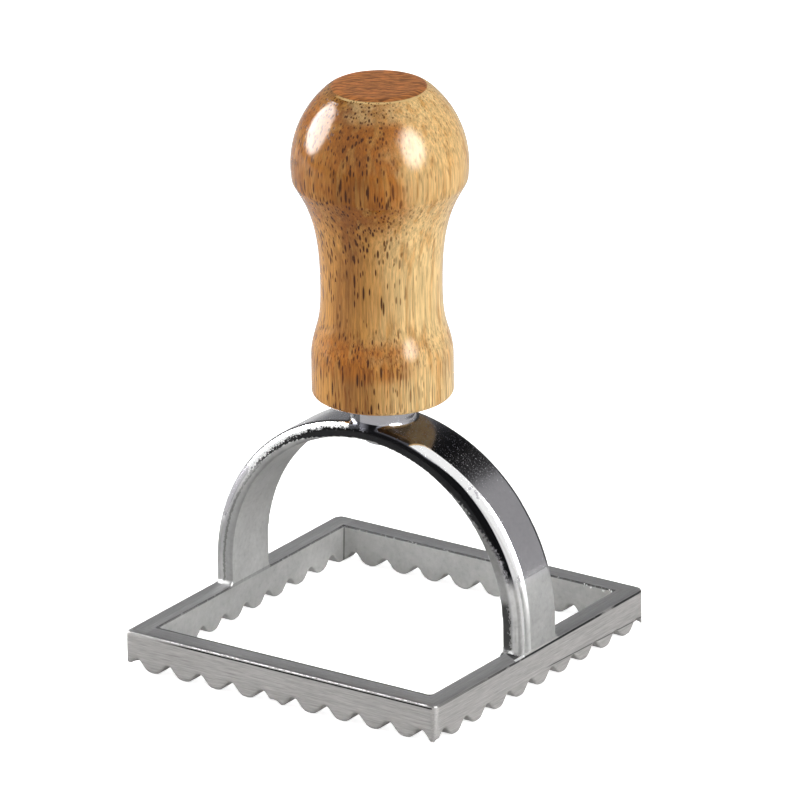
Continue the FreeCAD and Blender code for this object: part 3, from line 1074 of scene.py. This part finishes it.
def room(settings):
    """A white background, and for the reflections a room that is bright in front and dark behind."""
    world = bpy.data.worlds.new("room")
    bpy.context.scene.world = world
    world.use_nodes = True
    world.cycles.sampling_method = "NONE"
    tree = world.node_tree
    tree.nodes.clear()
    direction = add_node(tree, "TexCoord").outputs["Generated"]
    front = dot(tree, direction, heading(FRONT_AZIMUTH, 0))
    back = ease(tree, split(tree, direction)[2], 0.56, 0.60, 0.42, 0.0)
    level = mix_value(tree, ease(tree, front, -0.3, -0.05), back, settings.front_level)
    left_box = times(tree, oval(tree, direction, *LEFT_BOX), settings.left_box_level)
    right_box = times(tree, oval(tree, direction, *RIGHT_BOX), settings.right_box_level)
    level = plus(tree, level, plus(tree, left_box, right_box))
    rays = add_node(tree, "LightPath").outputs
    level = mix_value(tree, rays["Is Diffuse Ray"], level, settings.room_level)
    level = mix_value(tree, rays["Is Camera Ray"], level, 1.0)
    background = add_node(tree, "Background", {"Color": (1.0, 1.0, 1.0, 1.0), "Strength": level})
    add_node(tree, "OutputWorld", {"Surface": background.outputs[0]})


def lamp(name, direction, size, power):
    """A soft oval lamp that looks at the middle of the stamp; reflections see the room's own lights."""
    data = bpy.data.lights.new(name, "AREA")
    data.shape = "ELLIPSE"
    data.size, data.size_y = size
    data.energy = power
    light = bpy.data.objects.new(name, data)
    towards = heading(*direction)
    light.location = towards * LAMP_DISTANCE + Vector((0.0, 0.0, LAMP_AIM_HEIGHT))
    light.rotation_euler = towards.to_track_quat("Z", "Y").to_euler()
    light.visible_glossy = False
    bpy.context.scene.collection.objects.link(light)


def view(settings):
    """The camera, far away and with a long lens, so that the picture has hardly any perspective."""
    data = bpy.data.cameras.new("camera")
    data.lens = settings.lens
    data.sensor_width = 36.0
    data.clip_end = 10.0
    camera = bpy.data.objects.new("camera", data)
    tilt = Euler((math.pi / 2 - settings.elevation, 0.0, math.pi / 2 + settings.azimuth)).to_matrix()
    turn = tilt @ Matrix.Rotation(settings.roll, 3, "Z")
    middle = Vector((0.0, 0.0, VIEW_HEIGHT)) + turn @ Vector((*VIEW_SHIFT, 0.0))
    camera.rotation_euler = turn.to_euler()
    camera.location = middle + turn @ Vector((0.0, 0.0, settings.distance))
    bpy.context.scene.collection.objects.link(camera)
    bpy.context.scene.camera = camera


class STAMP_OT_stage(bpy.types.Operator):
    """Adds the floor, the room, the lamps and the camera"""

    bl_idname = "stamp.stage"
    bl_label = "Stage"

    def execute(self, context):
        settings = context.scene.stamp_stage
        floor()
        room(settings)
        lamp("left_lamp", *LEFT_LAMP, settings.left_power)
        lamp("right_lamp", *RIGHT_LAMP, settings.right_power)
        view(settings)
        context.scene.view_settings.view_transform = "Standard"
        return {"FINISHED"}


class STAMP_PT_panel(bpy.types.Panel):
    """The stamp's pieces and their settings"""

    bl_idname = "STAMP_PT_panel"
    bl_label = "Ravioli stamp"
    bl_space_type = "VIEW_3D"
    bl_region_type = "UI"
    bl_category = "Ravioli stamp"

    def draw(self, context):
        layout = self.layout
        scene = context.scene
        for operator, settings in (
            (STAMP_OT_head, scene.stamp_head),
            (STAMP_OT_handle, scene.stamp_handle),
            (STAMP_OT_screw, None),
            (STAMP_OT_stage, scene.stamp_stage),
        ):
            box = layout.box()
            box.operator(operator.bl_idname)
            if settings:
                for name in settings.__annotations__:
                    box.prop(settings, name)


CLASSES = (
    StampHeadSettings,
    StampHandleSettings,
    StampStageSettings,
    STAMP_OT_head,
    STAMP_OT_handle,
    STAMP_OT_screw,
    STAMP_OT_stage,
    STAMP_PT_panel,
)


def register():
    for item in CLASSES:
        bpy.utils.register_class(item)
    bpy.types.Scene.stamp_head = PointerProperty(type=StampHeadSettings)
    bpy.types.Scene.stamp_handle = PointerProperty(type=StampHandleSettings)
    bpy.types.Scene.stamp_stage = PointerProperty(type=StampStageSettings)


def unregister():
    del bpy.types.Scene.stamp_stage
    del bpy.types.Scene.stamp_handle
    del bpy.types.Scene.stamp_head
    for item in reversed(CLASSES):
        bpy.utils.unregister_class(item)


def main():
    register()
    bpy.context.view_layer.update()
    bpy.ops.stamp.head()
    bpy.ops.stamp.handle()
    bpy.ops.stamp.screw()
    bpy.ops.stamp.stage()


if __name__ == "__main__":
    main()
